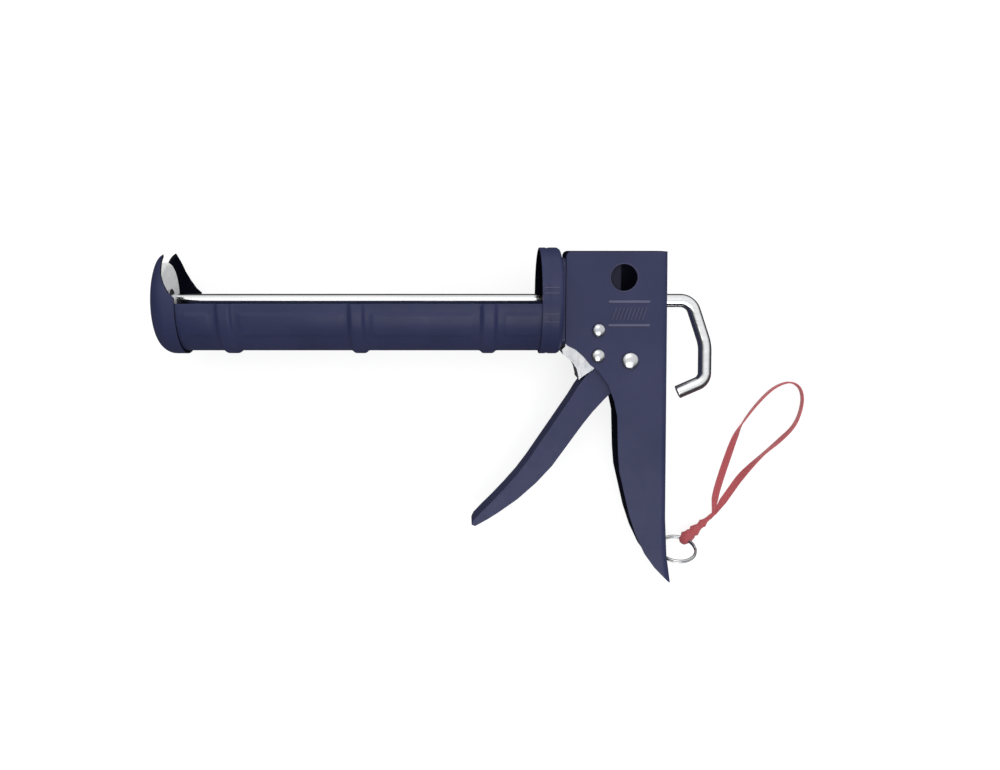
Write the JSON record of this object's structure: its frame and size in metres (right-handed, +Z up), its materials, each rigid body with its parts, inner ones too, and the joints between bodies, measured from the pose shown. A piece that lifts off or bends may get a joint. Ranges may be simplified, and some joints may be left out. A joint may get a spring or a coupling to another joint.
{
  "type": "caulking gun",
  "caption": "Hand caulking gun with a half-round cartridge cradle, ratchet rod with a hooked end, squeeze trigger, folded-sheet handle and a wrist strap on a ring.",
  "frame": {"origin": "centre of the box round the gun without its strap, at the height of the table it lies on", "axes": "+X from the nozzle end to the hooked end of the rod, +Y from the handle's tip to the open side of the barrel, +Z up from the table"},
  "size_m": [0.3952, 0.2029, 0.0634],
  "materials": {
    "navy_paint": "satin stove enamel in dark blue",
    "zinc_plate": "bright zinc plating",
    "spring_steel": "plain hardened steel",
    "bright_chrome": "polished",
    "coral_webbing": "woven flat strap"
  },
  "bodies": {
    "frame": {"barrel_trough": "navy_paint", "front_cap": "navy_paint", "rear_cup": "navy_paint", "nose_plate": "navy_paint", "body_shell": "navy_paint", "inner_bracket": "navy_paint", "trigger_guard": "zinc_plate", "frame_rivet_upper": "zinc_plate", "frame_rivet_lower": "zinc_plate", "trigger_pivot_rivet": "zinc_plate", "pivot_sleeve": "spring_steel", "trigger_washer_left": "zinc_plate", "trigger_washer_right": "zinc_plate", "barrel_rivet_upper": "spring_steel", "barrel_rivet_lower": "spring_steel", "rod_brake_leaf": "spring_steel", "trigger_return_spring": "spring_steel"},
    "trigger": {"trigger": "navy_paint", "pawl_pin": "spring_steel", "pawl_spring": "spring_steel"},
    "pawl": {"drive_pawl": "spring_steel"},
    "plunger": {"plunger_disc": "zinc_plate", "plunger_washer": "zinc_plate"},
    "rod": {"push_rod": "bright_chrome", "plunger_nut": "zinc_plate"},
    "ring": {"split_ring": "zinc_plate", "strap_knot": "coral_webbing", "wrist_strap": "coral_webbing"}
  },
  "joints": [
    {"name": "trigger_squeeze", "type": "hinge", "parent": "frame", "child": "trigger", "pos_m": [0.114, 0.03515, 0.02783], "axis": [0, -0.111, 0.9938], "range_deg": [0, 32], "stiffness_Nm_per_rad": 0.3, "springref_deg": -22.92, "deforming": ["trigger_return_spring"]},
    {"name": "pawl_tilt", "type": "hinge", "parent": "trigger", "child": "pawl", "pos_m": [0.12031, 0.05702, 0.03027], "axis": [0, -0.111, 0.9938], "range_deg": [-32, 0], "deforming": ["pawl_spring"]},
    {"name": "rod_slide", "type": "slide", "parent": "frame", "child": "plunger", "axis": [1, 0, 0], "range_m": [0, 0.2295]},
    {"name": "rod_turn", "type": "hinge", "parent": "plunger", "child": "rod", "pos_m": [0.077, 0.06983, 0.0317], "axis": [-1, 0, 0], "range_deg": [0, 180]},
    {"name": "ring_swing", "type": "hinge", "parent": "frame", "child": "ring", "pos_m": [0.13815, -0.08322, 0.01461], "axis": [0, 0, 1], "range_deg": [-4, 14]}
  ],
  "couplings": [
    {"joint": "pawl_tilt", "follows": "trigger_squeeze", "ratio": -1}
  ]
}
